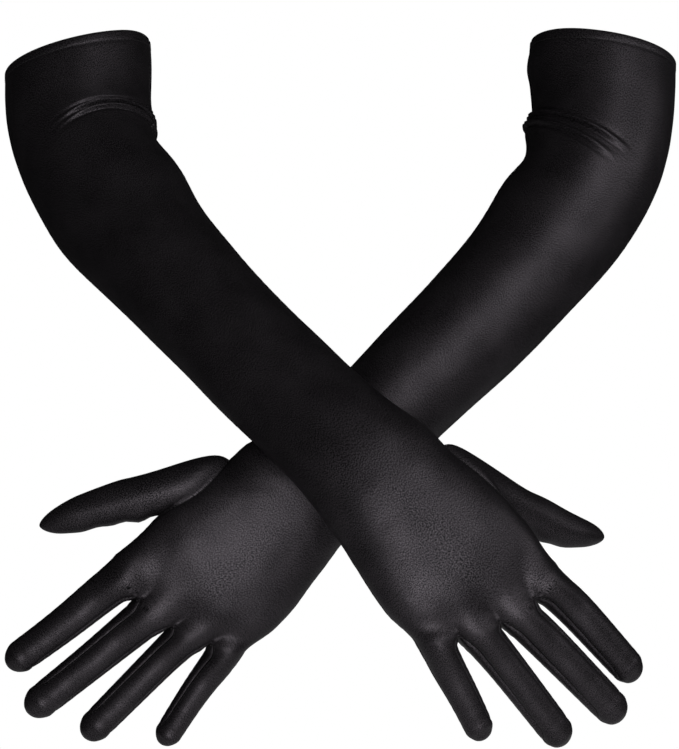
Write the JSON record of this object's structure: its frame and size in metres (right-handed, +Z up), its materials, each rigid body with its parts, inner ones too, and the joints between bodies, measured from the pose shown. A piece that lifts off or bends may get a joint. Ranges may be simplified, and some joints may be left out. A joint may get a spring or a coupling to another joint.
{
  "type": "opera gloves",
  "caption": "Long satin gloves worn with the arms crossed at the wrists, sewn from panels, thumbs and finger strips, open at the cuffs.",
  "frame": {"origin": "midway between the two arm openings, at the height where the arms enter", "axes": "+Z up along the arms' entry, +X from the right glove's cuff to the left glove's cuff, -Y the way the backs of the hands face"},
  "size_m": [0.3815, 0.2102, 0.379],
  "materials": {
    "satin": "satin",
    "thread": "matte",
    "elastic": "matte"
  },
  "bodies": {
    "left_glove": {"left_back_panel": "satin", "left_cuff_elastic": "elastic", "left_fourchette_index_middle": "satin", "left_fourchette_middle_ring": "satin", "left_fourchette_ring_little": "satin", "left_fourchette_thread_index_middle": "thread", "left_fourchette_thread_middle_ring": "thread", "left_fourchette_thread_ring_little": "thread", "left_hem_stitching": "thread", "left_index_seam_thread": "thread", "left_inner_seam_thread": "thread", "left_outer_seam_thread": "thread", "left_palm_panel": "satin", "left_thumb": "satin", "left_thumb_seam_thread": "thread"},
    "right_glove": {"right_back_panel": "satin", "right_cuff_elastic": "elastic", "right_fourchette_index_middle": "satin", "right_fourchette_middle_ring": "satin", "right_fourchette_ring_little": "satin", "right_fourchette_thread_index_middle": "thread", "right_fourchette_thread_middle_ring": "thread", "right_fourchette_thread_ring_little": "thread", "right_hem_stitching": "thread", "right_index_seam_thread": "thread", "right_inner_seam_thread": "thread", "right_outer_seam_thread": "thread", "right_palm_panel": "satin", "right_thumb": "satin", "right_thumb_seam_thread": "thread"}
  },
  "joints": [
    {"name": "front_glove_forwards", "type": "slide", "parent": "left_glove", "child": "right_glove", "axis": [0, -1, 0], "range_m": [0, 0.25]}
  ]
}
